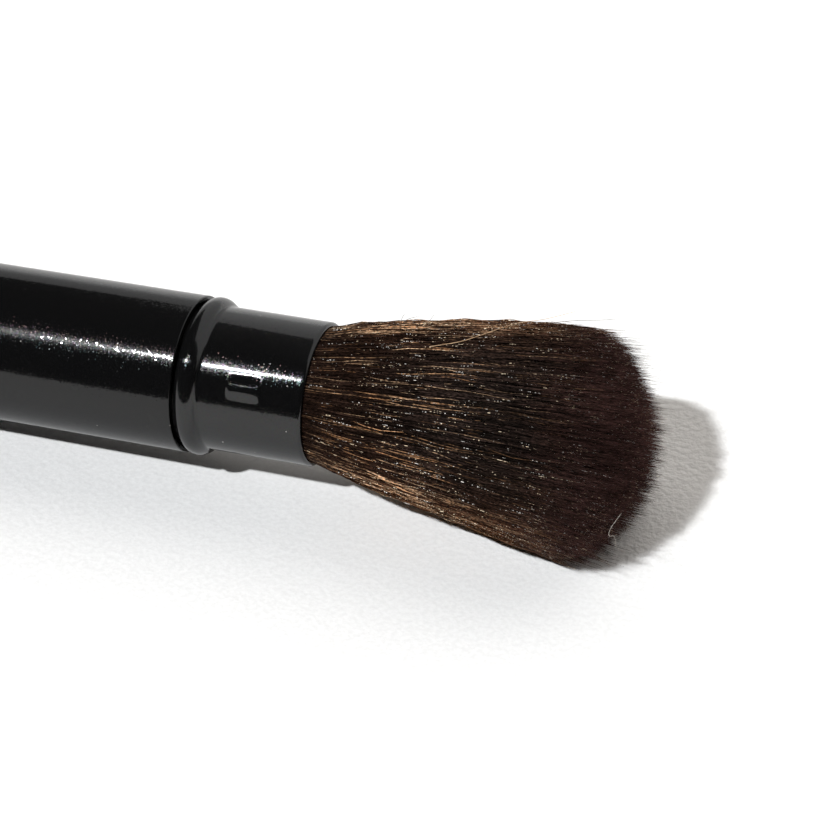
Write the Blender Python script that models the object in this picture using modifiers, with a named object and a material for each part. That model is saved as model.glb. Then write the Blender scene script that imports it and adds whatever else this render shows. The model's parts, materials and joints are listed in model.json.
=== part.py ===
"""Double-ended makeup brush: a tube barrel, two beaded ferrules, and a hair head in each.

The brush lies on a table, as it does when it is put down: it rests on the underside of the
powder head and on the bead of the ferrule at the other end, so its axis rises a little
towards the powder head. The frame is metres, +Z up, +X towards the powder head, with the
origin on the table under the middle of the brush.
"""

import math
from dataclasses import dataclass

import bmesh
import bpy
from mathutils import Matrix

# Driving dimensions, in metres
BARREL_DIAMETER = 0.0170
BARREL_WALL = 0.00047
BARREL_LENGTH = 0.104
BARREL_EDGE_RADIUS = 0.00018

FIT_CLEARANCE = 0.0003
FERRULE_WALL = 0.00035
SKIRT_LENGTH = 0.012
BEAD_GAP = 0.00017
BEAD_ROUND_RADIUS = 0.00135
BEAD_STAND = 0.00005
LIP_RADIUS = 0.00040
LIP_INTURN = 0.0003

BOSS_LENGTH = 0.0044
BOSS_WIDTH = 0.0031
BOSS_HEIGHT = 0.00038
BOSS_OFFSET = 0.00515
BOSS_RISE_DEGREES = 38.0

PLUG_WALL = 0.0010
PLUG_SETBACK = 0.0010
ROOT_GLUE_DEPTH = 0.0045
ROOT_DISC_DEPTH = 0.0014
ROOT_DISC_SETBACK = 0.0014
STRAND_EMBED = 0.0005
THREAD_DIAMETER = 0.0005
THREAD_TURNS = 4
NECK_SHOULDER = 0.0014

POWDER_FERRULE_REACH = 0.011613
POWDER_STRANDS = 200
POWDER_STRAND_RADIUS = 0.00025
POWDER_WAIST_HEIGHT = 0.009
POWDER_WAIST_RADIUS = 0.0093
POWDER_BELLY_HEIGHT = 0.027
POWDER_BELLY_RADIUS = 0.0124
POWDER_DOME_HEIGHT = 0.0095
RESTING_FLAT = 0.0005

DETAIL_FERRULE_LAND = 0.008013
DETAIL_FERRULE_TAPER = 0.0072
DETAIL_FERRULE_COLLAR = 0.0020
DETAIL_MOUTH_DIAMETER = 0.0098
DETAIL_STRANDS = 110
DETAIL_STRAND_RADIUS = 0.00016
DETAIL_WAIST_HEIGHT = 0.006
DETAIL_WAIST_RADIUS = 0.0052
DETAIL_BELLY_HEIGHT = 0.0125
DETAIL_BELLY_RADIUS = 0.0064
DETAIL_DOME_HEIGHT = 0.0078

# Counts that set the fineness of the round faces
ROUND_STEPS = 36
BEAD_STEPS = 8
LIP_STEPS = 3
TAPER_STEPS = 6
HALF_ROUND_STEPS = 6
EDGE_STEPS = 2

# Shares of a strand's full thickness along its length
STRAND_WAIST_SHARE = 1.25
STRAND_TIP_SHARE = 0.45

MERGE_DISTANCE = 0.00001
GOLDEN_ANGLE = math.pi * (3.0 - math.sqrt(5.0))

# Sizes that follow from the driving ones
SKIRT_RADIUS = BARREL_DIAMETER / 2 - BARREL_WALL - FIT_CLEARANCE
BEAD_RADIUS = BARREL_DIAMETER / 2 + BEAD_STAND
BEAD_CENTRE_RADIUS = BEAD_RADIUS - BEAD_ROUND_RADIUS
BEAD_HALF_WIDTH = math.sqrt(BEAD_ROUND_RADIUS**2 - (SKIRT_RADIUS - BEAD_CENTRE_RADIUS) ** 2)
BEAD_MIDDLE = BEAD_GAP + BEAD_HALF_WIDTH
BEAD_END = BEAD_GAP + 2 * BEAD_HALF_WIDTH
RESTING_RADIUS = POWDER_BELLY_RADIUS - RESTING_FLAT


@dataclass(frozen=True)
class BrushEnd:
    """One end of the brush, in its own frame: Z runs out of the barrel, whose end is at 0."""

    name: str
    side: int
    land: float
    taper: float
    collar: float
    mouth_radius: float
    strands: int
    strand_radius: float
    waist_height: float
    waist_radius: float
    belly_height: float
    belly_radius: float
    dome_height: float

    @property
    def mouth(self):
        """Height of the ferrule's mouth above the barrel's end."""
        return BEAD_END + self.land + self.taper + self.collar

    @property
    def reach(self):
        """Height of the hair's tip above the barrel's end."""
        return self.mouth + self.belly_height + self.dome_height

    @property
    def lip_inner_radius(self):
        """Radius of the opening that the hair comes out of."""
        return self.mouth_radius - FERRULE_WALL - LIP_INTURN

    @property
    def disc_radius(self):
        """Radius of the disc that the hair is set in."""
        return self.mouth_radius - FERRULE_WALL - FIT_CLEARANCE

    @property
    def disc_top(self):
        return self.mouth - ROOT_DISC_SETBACK

    @property
    def neck_radius(self):
        return self.disc_radius - NECK_SHOULDER

    @property
    def neck_length(self):
        return THREAD_TURNS * THREAD_DIAMETER + 2 * FIT_CLEARANCE

    @property
    def glue_top(self):
        return self.disc_top - ROOT_DISC_DEPTH - self.neck_length - FIT_CLEARANCE

    def outer_radius(self, height):
        """Outer radius of the ferrule in front of its bead: a land, a smooth taper, a collar."""
        share = (height - BEAD_END - self.land) / self.taper if self.taper else 0.0
        eased = (1 - math.cos(math.pi * min(max(share, 0.0), 1.0))) / 2
        return SKIRT_RADIUS + (self.mouth_radius - SKIRT_RADIUS) * eased


POWDER_END = BrushEnd(
    name="powder",
    side=1,
    land=POWDER_FERRULE_REACH,
    taper=0.0,
    collar=0.0,
    mouth_radius=SKIRT_RADIUS,
    strands=POWDER_STRANDS,
    strand_radius=POWDER_STRAND_RADIUS,
    waist_height=POWDER_WAIST_HEIGHT,
    waist_radius=POWDER_WAIST_RADIUS,
    belly_height=POWDER_BELLY_HEIGHT,
    belly_radius=POWDER_BELLY_RADIUS,
    dome_height=POWDER_DOME_HEIGHT,
)
DETAIL_END = BrushEnd(
    name="detail",
    side=-1,
    land=DETAIL_FERRULE_LAND,
    taper=DETAIL_FERRULE_TAPER,
    collar=DETAIL_FERRULE_COLLAR,
    mouth_radius=DETAIL_MOUTH_DIAMETER / 2,
    strands=DETAIL_STRANDS,
    strand_radius=DETAIL_STRAND_RADIUS,
    waist_height=DETAIL_WAIST_HEIGHT,
    waist_radius=DETAIL_WAIST_RADIUS,
    belly_height=DETAIL_BELLY_HEIGHT,
    belly_radius=DETAIL_BELLY_RADIUS,
    dome_height=DETAIL_DOME_HEIGHT,
)

# The table touches the powder head's belly and the far ferrule's bead
BELLY_STATION = BARREL_LENGTH / 2 + POWDER_END.mouth + POWDER_BELLY_HEIGHT
FAR_BEAD_STATION = -BARREL_LENGTH / 2 - BEAD_MIDDLE
AXIS_RISE = math.atan((RESTING_RADIUS - BEAD_RADIUS) / (BELLY_STATION - FAR_BEAD_STATION))
AXIS_HEIGHT = BEAD_RADIUS * math.cos(AXIS_RISE) - FAR_BEAD_STATION * math.sin(AXIS_RISE)
MIDDLE_STATION = (POWDER_END.reach - DETAIL_END.reach) / 2


def clear_scene():
    """Start from an empty scene."""
    for item in list(bpy.data.objects):
        bpy.data.objects.remove(item)


def make_collection(name):
    """Add a collection to the scene."""
    collection = bpy.data.collections.new(name)
    bpy.context.scene.collection.children.link(collection)
    return collection


def make_material(name, colour, roughness, metallic=0.0):
    """A plain Principled material."""
    material = bpy.data.materials.new(name)
    material.use_nodes = True
    shader = material.node_tree.nodes["Principled BSDF"]
    shader.inputs["Base Color"].default_value = (*colour, 1.0)
    shader.inputs["Roughness"].default_value = roughness
    shader.inputs["Metallic"].default_value = metallic
    material.diffuse_color = (*colour, 1.0)
    return material


def add_object(name, data, collection, parent=None, material=None):
    """Put data in the scene as a named object."""
    item = bpy.data.objects.new(name, data)
    collection.objects.link(item)
    item.parent = parent
    if material:
        data.materials.append(material)
    return item


def mark_as_tool(item):
    """Show a cutter as a wire only."""
    item.hide_render = True
    item.display_type = "WIRE"
    return item


def turned(name, outline, collection, parent, material=None, closed=True):
    """Turn an outline of (radius, height) points about Z; it runs down the outer side."""
    mesh = bpy.data.meshes.new(name)
    edges = [(i, i + 1) for i in range(len(outline) - 1)]
    if closed:
        edges.append((len(outline) - 1, 0))
    mesh.from_pydata([(radius, 0.0, height) for radius, height in outline], edges, [])
    item = add_object(name, mesh, collection, parent, material)
    screw = item.modifiers.new("turn", "SCREW")
    screw.axis = "Z"
    screw.steps = screw.render_steps = ROUND_STEPS
    screw.use_merge_vertices = True
    screw.merge_threshold = MERGE_DISTANCE
    screw.use_smooth_shade = True
    return item


def combine(item, tool, operation):
    """Cut or join an object with another through a live Boolean."""
    modifier = item.modifiers.new(tool.name, "BOOLEAN")
    modifier.operation = operation
    modifier.object = tool
    return modifier


def curve_to_mesh(item, collection):
    """Replace a curve object with its welded mesh."""
    depsgraph = bpy.context.evaluated_depsgraph_get()
    mesh = bpy.data.meshes.new_from_object(item.evaluated_get(depsgraph))
    mesh.name = item.name
    work = bmesh.new()
    work.from_mesh(mesh)
    bmesh.ops.remove_doubles(work, verts=work.verts, dist=MERGE_DISTANCE / 10)
    work.to_mesh(mesh)
    work.free()
    solid = add_object(item.name + "_solid", mesh, collection, item.parent)
    solid.matrix_world = item.matrix_world
    curve = item.data
    bpy.data.objects.remove(item)
    bpy.data.curves.remove(curve)
    return solid


def arc(centre, radius, start, end, steps):
    """Points of an arc as (radius, height), its angles in degrees from the outward side."""
    points = []
    for step in range(steps + 1):
        angle = math.radians(start + (end - start) * step / steps)
        points.append((centre[0] + radius * math.cos(angle), centre[1] + radius * math.sin(angle)))
    return points


def bead_arc(radius, wall_radius, steps):
    """The part of a bead's round that stands outside a wall, from its front to its back."""
    reach = math.degrees(math.asin((wall_radius - BEAD_CENTRE_RADIUS) / radius))
    return arc((BEAD_CENTRE_RADIUS, BEAD_MIDDLE), radius, 90 - reach, reach - 90, steps)


def taper_points(end, offset):
    """Points down a ferrule's taper, each moved inwards by an offset."""
    if not end.taper:
        return []
    top = BEAD_END + end.land + end.taper
    heights = [top - end.taper * step / TAPER_STEPS for step in range(TAPER_STEPS + 1)]
    return [(end.outer_radius(height) - offset, height) for height in heights]


def build_barrel(collection, parent, material):
    """The thin drawn tube that is held, its two edges rounded."""
    outer = BARREL_DIAMETER / 2
    inner = outer - BARREL_WALL
    half = BARREL_LENGTH / 2
    round_centre = outer - BARREL_EDGE_RADIUS
    top = arc((round_centre, half - BARREL_EDGE_RADIUS), BARREL_EDGE_RADIUS, 90, 0, EDGE_STEPS)
    bottom = arc((round_centre, BARREL_EDGE_RADIUS - half), BARREL_EDGE_RADIUS, 0, -90, EDGE_STEPS)
    outline = [(inner, half)] + top + bottom + [(inner, -half)]
    return turned("barrel_tube", outline, collection, parent, material)


def ferrule_outline(end):
    """A ferrule's wall: the curled lip, its side, the rolled bead and the skirt in the barrel."""
    lip_centre = (end.mouth_radius - LIP_RADIUS, end.mouth - LIP_RADIUS)
    lip_base = end.mouth - FERRULE_WALL
    bore = SKIRT_RADIUS - FERRULE_WALL
    outline = [(end.lip_inner_radius, lip_base), (end.lip_inner_radius, end.mouth)]
    outline += arc(lip_centre, LIP_RADIUS, 90, 0, LIP_STEPS)
    outline += taper_points(end, 0.0)
    outline += bead_arc(BEAD_ROUND_RADIUS, SKIRT_RADIUS, BEAD_STEPS)
    outline += [(SKIRT_RADIUS, -SKIRT_LENGTH), (bore, -SKIRT_LENGTH)]
    outline += bead_arc(BEAD_ROUND_RADIUS - FERRULE_WALL, bore, BEAD_STEPS // 2)[::-1]
    outline += taper_points(end, FERRULE_WALL)[::-1]
    outline.append((end.mouth_radius - FERRULE_WALL, lip_base - LIP_INTURN))
    return outline


def build_boss_tool(end, tools, parent):
    """Two opposite oblong bosses, struck outwards in the ferrule's side."""
    crown = SKIRT_RADIUS + BOSS_HEIGHT
    half_width = BOSS_WIDTH / 2
    straight = BOSS_LENGTH / 2 - half_width
    curve = bpy.data.curves.new(end.name + "_boss", "CURVE")
    curve.dimensions = "2D"
    curve.fill_mode = "BOTH"
    curve.extrude = 2 * crown
    spline = curve.splines.new("POLY")
    outline = arc((straight, 0.0), half_width, -90, 90, HALF_ROUND_STEPS)
    outline += arc((-straight, 0.0), half_width, 90, 270, HALF_ROUND_STEPS)
    spline.points.add(len(outline) - 1)
    for point, (along, across) in zip(spline.points, outline):
        point.co = (along, across, 0.0, 1.0)
    spline.use_cyclic_u = True
    item = add_object(curve.name, curve, tools, parent)

    # The oblong's length lies along the ferrule and its depth goes through the ferrule's axis
    turn = Matrix.Rotation(math.radians(-BOSS_RISE_DEGREES * end.side), 4, "Z")
    stand = Matrix.Rotation(math.radians(90), 4, "Z") @ Matrix.Rotation(math.radians(-90), 4, "Y")
    place = Matrix.Translation((0.0, 0.0, BEAD_END + BOSS_OFFSET))
    item.matrix_local = place @ turn @ stand
    bpy.context.view_layer.update()
    oblong = mark_as_tool(curve_to_mesh(item, tools))

    top = BEAD_END + BOSS_OFFSET + BOSS_LENGTH
    bottom = BEAD_END + BOSS_OFFSET - BOSS_LENGTH
    middle_of_wall = SKIRT_RADIUS - FERRULE_WALL / 2
    ring_outline = [(middle_of_wall, top), (crown, top), (crown, bottom), (middle_of_wall, bottom)]
    ring = mark_as_tool(turned(end.name + "_boss_ring", ring_outline, tools, parent))
    combine(oblong, ring, "INTERSECT")
    return oblong


def build_ferrule(end, collection, tools, parent, material):
    """The metal sleeve that grips the hair and plugs into the barrel."""
    outline = ferrule_outline(end)
    ferrule = turned(end.name + "_ferrule", outline, collection, parent, material)
    combine(ferrule, build_boss_tool(end, tools, parent), "UNION")
    return ferrule


def build_ferrule_plug(end, collection, parent, material):
    """A moulded cup in the skirt that keeps it round and stops the glue from running back."""
    outer = SKIRT_RADIUS - FERRULE_WALL - FIT_CLEARANCE
    inner = outer - PLUG_WALL
    front = -PLUG_SETBACK
    rear = -SKIRT_LENGTH
    outline = [(0.0, front), (outer, front), (outer, rear), (inner, rear)]
    outline += [(inner, front - PLUG_WALL), (0.0, front - PLUG_WALL)]
    name = end.name + "_ferrule_plug"
    return turned(name, outline, collection, parent, material, closed=False)


def build_root_glue(end, collection, parent, material):
    """The set resin behind the hair's root, as wide as the ferrule's bore."""
    offset = FERRULE_WALL + FIT_CLEARANCE
    top = end.glue_top
    heights = [top - ROOT_GLUE_DEPTH * step / EDGE_STEPS for step in range(EDGE_STEPS + 1)]
    side = [(end.outer_radius(height) - offset, height) for height in heights]
    outline = [(0.0, top)] + side + [(0.0, heights[-1])]
    return turned(end.name + "_root_glue", outline, collection, parent, material, closed=False)


def build_root_binding(end, collection, parent, material):
    """The thread wound round the root of the hair, one ridge for each turn."""
    inner = end.neck_radius + FIT_CLEARANCE
    middle = inner + THREAD_DIAMETER / 2
    top = end.disc_top - ROOT_DISC_DEPTH - FIT_CLEARANCE
    outline = [(inner, top)]
    for turn in range(THREAD_TURNS):
        centre = (middle, top - THREAD_DIAMETER * (turn + 0.5))
        outline += arc(centre, THREAD_DIAMETER / 2, 90, -90, EDGE_STEPS)[(1 if turn else 0):]
    outline.append((inner, top - THREAD_DIAMETER * THREAD_TURNS))
    return turned(end.name + "_root_binding", outline, collection, parent, material)


def table_distance(end, height):
    """How far below the axis the table lies, at a height in an end's own frame."""
    station = end.side * (BARREL_LENGTH / 2 + height)
    return AXIS_HEIGHT / math.cos(AXIS_RISE) + station * math.tan(AXIS_RISE)


def strand_points(end, index):
    """Root, waist and tip of one strand, each as (x, y, z, share of the full thickness).

    The strands fill a sunflower pattern whose radius grows along the head, so that no two
    of them cross, and their tips lie on the dome.
    """
    share = math.sqrt((index + 0.5) / end.strands)
    angle = index * GOLDEN_ANGLE
    fill_radius = end.lip_inner_radius - FIT_CLEARANCE - end.strand_radius
    root_depth = ROOT_DISC_SETBACK + STRAND_EMBED
    flare = (end.waist_radius - fill_radius) / end.waist_height
    root_radius = fill_radius - flare * root_depth
    tip_height = end.belly_height + end.dome_height * math.sqrt(1.0 - share**2)
    rows = [
        (share * root_radius, -root_depth, 1.0),
        (share * end.waist_radius, end.waist_height, STRAND_WAIST_SHARE),
        (share * end.belly_radius, tip_height, STRAND_TIP_SHARE),
    ]
    points = [
        [radius * math.cos(angle), radius * math.sin(angle), end.mouth + height, thickness]
        for radius, height, thickness in rows
    ]
    return rest_on_table(end, points)


def rest_on_table(end, points):
    """Shorten a strand whose tip would pass through the table."""
    waist, tip = points[1], points[2]
    thickness = end.strand_radius * STRAND_TIP_SHARE
    room = [table_distance(end, point[2]) - thickness - end.side * point[0] for point in (waist, tip)]
    if room[1] < 0.0:
        share = room[0] / (room[0] - room[1])
        for axis in range(3):
            tip[axis] = waist[axis] + (tip[axis] - waist[axis]) * share
    return points


def build_strands(end, tools, parent):
    """All strands of one head, as separate four-sided tapered rods."""
    curve = bpy.data.curves.new(end.name + "_strands", "CURVE")
    curve.dimensions = "3D"
    curve.bevel_depth = end.strand_radius
    curve.bevel_resolution = 0
    curve.use_fill_caps = True
    for index in range(end.strands):
        points = strand_points(end, index)
        spline = curve.splines.new("POLY")
        spline.points.add(len(points) - 1)
        for point, (x, y, z, thickness) in zip(spline.points, points):
            point.co = (x, y, z, 1.0)
            point.radius = thickness
    item = add_object(curve.name, curve, tools, parent)
    bpy.context.view_layer.update()
    return mark_as_tool(curve_to_mesh(item, tools))


def build_bristles(end, collection, tools, parent, material):
    """The hair and the disc that its roots are set in, with the neck that the thread binds."""
    top = end.disc_top
    disc_bottom = top - ROOT_DISC_DEPTH
    neck_bottom = disc_bottom - end.neck_length
    outline = [(0.0, top), (end.disc_radius, top), (end.disc_radius, disc_bottom)]
    outline += [(end.neck_radius, disc_bottom), (end.neck_radius, neck_bottom), (0.0, neck_bottom)]
    name = end.name + "_bristles"
    bristles = turned(name, outline, collection, parent, material, closed=False)
    combine(bristles, build_strands(end, tools, parent), "UNION")
    return bristles


def add_empty(name, collection, parent=None):
    """A reference frame for the pieces of one sub-assembly."""
    empty = bpy.data.objects.new(name, None)
    collection.objects.link(empty)
    empty.parent = parent
    return empty


def build_end(end, parts, tools, axis, materials):
    """All the pieces of one end, in a frame at the barrel's end whose Z runs outwards."""
    frame = add_empty(end.name + "_end", parts, axis)
    frame.location = (end.side * BARREL_LENGTH / 2, 0.0, 0.0)
    frame.rotation_euler = (0.0, end.side * math.pi / 2, 0.0)
    bpy.context.view_layer.update()
    build_ferrule(end, parts, tools, frame, materials["lacquer"])
    build_ferrule_plug(end, parts, frame, materials["plug"])
    build_root_glue(end, parts, frame, materials["glue"])
    build_root_binding(end, parts, frame, materials["thread"])
    build_bristles(end, parts, tools, frame, materials["hair"])


def main():
    """Build the brush on its table."""
    clear_scene()
    parts = make_collection("double_ended_makeup_brush")
    tools = make_collection("cutters")
    materials = {
        "lacquer": make_material("gloss_black_lacquer", (0.010, 0.010, 0.011), 0.10, 0.2),
        "hair": make_material("dark_brown_hair", (0.030, 0.014, 0.010), 0.42),
        "glue": make_material("amber_resin", (0.45, 0.30, 0.12), 0.35),
        "thread": make_material("waxed_thread", (0.62, 0.58, 0.50), 0.75),
        "plug": make_material("natural_plastic", (0.70, 0.69, 0.66), 0.45),
    }
    axis = add_empty("brush_axis", parts)
    axis.location = (-MIDDLE_STATION * math.cos(AXIS_RISE), 0.0, AXIS_HEIGHT)
    axis.rotation_euler = (0.0, -AXIS_RISE, 0.0)

    barrel_frame = add_empty("barrel_frame", parts, axis)
    barrel_frame.rotation_euler = (0.0, math.pi / 2, 0.0)
    build_barrel(parts, barrel_frame, materials["lacquer"])
    for end in (POWDER_END, DETAIL_END):
        build_end(end, parts, tools, axis, materials)


main()
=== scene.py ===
"""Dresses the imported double-ended makeup brush: lacquered metal, two hair heads, its studio.

The brush lies on white paper in hard light from the front left, under a dark ceiling and in
front of a low white sweep, seen from close by at the powder head.
"""

import json
import logging
import math
from dataclasses import dataclass
from enum import Enum

import bpy
import numpy as np
from bpy.types import Material, Node, NodeSocket, NodeTree, Object
from mathutils import Matrix, Vector

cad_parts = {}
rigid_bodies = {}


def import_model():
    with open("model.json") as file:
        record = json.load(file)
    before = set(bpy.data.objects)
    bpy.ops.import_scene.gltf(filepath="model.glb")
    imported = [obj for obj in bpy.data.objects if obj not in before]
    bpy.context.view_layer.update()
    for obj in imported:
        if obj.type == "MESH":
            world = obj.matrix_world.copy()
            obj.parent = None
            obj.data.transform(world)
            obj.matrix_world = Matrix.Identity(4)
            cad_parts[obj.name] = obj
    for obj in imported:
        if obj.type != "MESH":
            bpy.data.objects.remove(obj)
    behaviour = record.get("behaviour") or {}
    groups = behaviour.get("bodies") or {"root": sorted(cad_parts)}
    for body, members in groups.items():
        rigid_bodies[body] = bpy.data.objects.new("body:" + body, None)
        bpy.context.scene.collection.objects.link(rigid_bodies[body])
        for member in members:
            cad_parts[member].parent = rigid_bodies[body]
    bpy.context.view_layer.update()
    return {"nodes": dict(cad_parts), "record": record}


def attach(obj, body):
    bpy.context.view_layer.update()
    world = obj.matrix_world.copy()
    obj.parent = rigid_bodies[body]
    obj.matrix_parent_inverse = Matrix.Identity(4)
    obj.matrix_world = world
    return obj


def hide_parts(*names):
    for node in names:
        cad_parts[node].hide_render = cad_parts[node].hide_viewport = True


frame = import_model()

BODY = "root"
MILLIMETRE = 0.001
MERGE_DISTANCE = 1e-6
GOLDEN_ANGLE = 2.39996
WHITE = (1.0, 1.0, 1.0)
BLACK = (0.0, 0.0, 0.0)

Pair = tuple[float, float]
Triple = tuple[float, float, float]
Colour = Triple
Tones = tuple[Colour, Colour]
# A ramp holds what Graph.span takes beside its value
Ramp = tuple[float, ...]
Outline = list[Pair]
Array = np.ndarray
Random = np.random.Generator

log = logging.getLogger("brush")


class End(Enum):
    """The two ends of the brush, each with its direction along the axis."""

    POWDER = 1
    DETAIL = -1


class Effect(Enum):
    """The surface effects that more than one finish uses, each a node group of this name."""

    GRAIN = "lacquer grain"
    SPECKS = "dust specks"
    CLOUD = "handling marks"


# Node graphs


class Graph:
    """Adds nodes and links to one node tree in few words."""

    def __init__(self, tree: NodeTree) -> None:
        """Keep the node tree of a material, a world or a group."""
        self.tree = tree

    def feed(self, socket: NodeSocket, value: object) -> None:
        """Link a socket to another one, or set its value.

        Args:
            socket: The input to fill.
            value: An output socket, a number, a vector or a colour of three numbers.
        """
        if isinstance(value, NodeSocket):
            self.tree.links.new(value, socket)
        else:
            socket.default_value = (*value, 1.0) if socket.type == "RGBA" else value

    def fill(self, node: Node, **inputs: object) -> Node:
        """Feed a node's inputs by name, an underscore standing for a space."""
        for name, value in inputs.items():
            self.feed(node.inputs[name.replace("_", " ")], value)
        return node

    def add(self, kind: str, settings: dict[str, object] | None = None, **inputs: object) -> Node:
        """Add a shader node.

        Args:
            kind: The node's type, without the words ShaderNode.
            settings: Its properties by name.
            inputs: Its inputs by name.

        Returns:
            The new node.
        """
        node = self.tree.nodes.new("ShaderNode" + kind)
        for name, value in (settings or {}).items():
            setattr(node, name, value)
        return self.fill(node, **inputs)

    def operate(self, kind: str, operation: str, values: tuple[object, ...]) -> Node:
        """Add a node that works on numbered values.

        Args:
            kind: Math or VectorMath.
            operation: What it works out.
            values: What it takes, in order.

        Returns:
            The new node.
        """
        node = self.add(kind, {"operation": operation})
        for socket, value in zip(node.inputs, values):
            self.feed(socket, value)
        return node

    def math(self, operation: str, *values: object) -> NodeSocket:
        """Work out a number from numbers."""
        return self.operate("Math", operation, values).outputs[0]

    def plus(self, first: object, second: object) -> NodeSocket:
        """Add two numbers."""
        return self.math("ADD", first, second)

    def minus(self, first: object, second: object) -> NodeSocket:
        """Take the second number from the first."""
        return self.math("SUBTRACT", first, second)

    def times(self, product: object, *others: object) -> NodeSocket:
        """Multiply numbers, one after the other."""
        for other in others:
            product = self.math("MULTIPLY", product, other)
        return product

    def vector(self, operation: str, *values: object) -> NodeSocket:
        """Work out a vector from vectors."""
        return self.operate("VectorMath", operation, values).outputs["Vector"]

    def measure(self, operation: str, *values: object) -> NodeSocket:
        """Work out a number from vectors."""
        return self.operate("VectorMath", operation, values).outputs["Value"]

    def scale(self, value: NodeSocket, factor: object) -> NodeSocket:
        """Scale a vector or a colour."""
        return self.add("VectorMath", {"operation": "SCALE"}, Vector=value, Scale=factor).outputs[0]

    def mix(self, factor: object, first: object, second: object) -> NodeSocket:
        """Mix two colours.

        Args:
            factor: The second colour's share.
            first: The first colour.
            second: The second colour.

        Returns:
            The mixed colour.
        """
        node = self.add("Mix", {"data_type": "RGBA"})
        for index, value in ((0, factor), (6, first), (7, second)):
            self.feed(node.inputs[index], value)
        return node.outputs[2]

    def span(
        self, value: object, low: float, high: float, start: float = 0.0, end: float = 1.0
    ) -> NodeSocket | float:
        """Map a value from low..high to start..end, held at both ends.

        Args:
            value: The value.
            low: Where it starts to count.
            high: Where it ends.
            start: The result up to low.
            end: The result from high on.

        Returns:
            The result, a plain number if start and end are the same.
        """
        if start == end:
            return start
        limits = {"From_Min": low, "From_Max": high, "To_Min": start, "To_Max": end}
        return self.add("MapRange", Value=value, **limits).outputs[0]

    def place(self) -> NodeSocket:
        """Give the Object coordinates."""
        return self.add("TexCoord").outputs["Object"]

    def noise(self, scale: object, detail: float = 2.0, place: NodeSocket | None = None) -> NodeSocket:
        """Give the value of a noise, over the Object coordinates if no place is given."""
        return self.add("TexNoise", Vector=place or self.place(), Scale=scale, Detail=detail).outputs[0]

    def bump(self, height: NodeSocket, strength: float, distance: float) -> NodeSocket:
        """Turn a height into a normal."""
        return self.add("Bump", Height=height, Strength=strength, Distance=distance).outputs[0]

    def group(self, effect: Effect, **values: float) -> list[NodeSocket]:
        """Place a shared effect with its own values and give its outputs."""
        return list(self.add("Group", {"node_tree": bpy.data.node_groups[effect.value]}, **values).outputs)


def new_group(effect: Effect, inputs: dict[str, float], outputs: dict[str, str]) -> tuple[Graph, dict, Node]:
    """Start the node group of an effect.

    Args:
        effect: The effect.
        inputs: Its number inputs with their values.
        outputs: Its outputs, each with its kind of socket.

    Returns:
        The group's graph, its inputs by name and its output node.
    """
    tree = bpy.data.node_groups.new(effect.value, "ShaderNodeTree")
    for label, value in inputs.items():
        socket = tree.interface.new_socket(name=label, in_out="INPUT", socket_type="NodeSocketFloat")
        socket.default_value = value
    for label, kind in outputs.items():
        tree.interface.new_socket(name=label, in_out="OUTPUT", socket_type="NodeSocket" + kind)
    given = tree.nodes.new("NodeGroupInput").outputs
    return Graph(tree), {label: given[label] for label in inputs}, tree.nodes.new("NodeGroupOutput")


@dataclass(frozen=True)
class SharedEffects:
    """Builds the node group of each shared effect."""

    grain_contrast: float = 1.7
    grain_power: float = 4.0
    grain_tint: Colour = (1.2, 1.2, 1.2)
    drift_scale: float = 260.0
    drift_ramp: Ramp = (0.42, 0.62, 0.15, 1.0)
    speck_sizes: Pair = (0.4, 1.0)
    cloud_ramp: Ramp = (0.35, 0.65)

    def build(self) -> None:
        """Build the three groups."""
        self.build_grain()
        self.build_specks()
        self.build_cloud()

    def build_grain(self) -> None:
        """Build the grain of a sprayed lacquer: normals that tilt from grain to grain, and tints."""
        graph, given, result = new_group(
            Effect.GRAIN, {"Scale": 9000.0, "Tilt": 0.1}, {"Normal": "Vector", "Tint": "Color"}
        )
        colour = graph.add("TexVoronoi", Vector=graph.place(), Scale=given["Scale"]).outputs["Color"]
        lean = graph.vector("SUBTRACT", colour, (0.5, 0.5, 0.5))
        size = graph.times(graph.measure("LENGTH", lean), self.grain_contrast)
        share = graph.math("POWER", size, self.grain_power)
        lean = graph.scale(lean, graph.times(share, given["Tilt"]))
        normal = graph.vector("ADD", graph.add("NewGeometry").outputs["Normal"], lean)
        tint = graph.mix(0.5, self.grain_tint, colour)
        graph.fill(result, Normal=graph.vector("NORMALIZE", normal), Tint=tint)

    def build_specks(self) -> None:
        """Build a mask of tiny dust specks, most of them in loose drifts."""
        graph, given, result = new_group(
            Effect.SPECKS, {"Scale": 1400.0, "Share": 0.1, "Size": 0.1}, {"Mask": "Float"}
        )
        place = graph.place()
        cells = graph.add("TexVoronoi", Vector=place, Scale=given["Scale"]).outputs
        chance, spread, _ = graph.add("SeparateColor", Color=cells["Color"]).outputs
        drift = graph.span(graph.noise(self.drift_scale, 1.0, place), *self.drift_ramp)
        chosen = graph.math("LESS_THAN", chance, graph.times(given["Share"], drift))
        size = graph.times(given["Size"], graph.span(spread, 0.0, 1.0, *self.speck_sizes))
        inside = graph.math("LESS_THAN", cells["Distance"], size)
        graph.fill(result, Mask=graph.times(chosen, inside))

    def build_cloud(self) -> None:
        """Build a soft cloudy value from 0 to 1, for handling marks and uneven colour."""
        graph, given, result = new_group(Effect.CLOUD, {"Scale": 300.0}, {"Value": "Float"})
        graph.fill(result, Value=graph.span(graph.noise(given["Scale"], 4.0), *self.cloud_ramp))


def start_material(name: str) -> tuple[Material, Graph, Node]:
    """Make a material with one Principled shader.

    Args:
        name: The material's name.

    Returns:
        The material, its graph and its shader node.
    """
    material = bpy.data.materials.new(name)
    material.use_nodes = True
    return material, Graph(material.node_tree), material.node_tree.nodes["Principled BSDF"]


# Finishes


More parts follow.
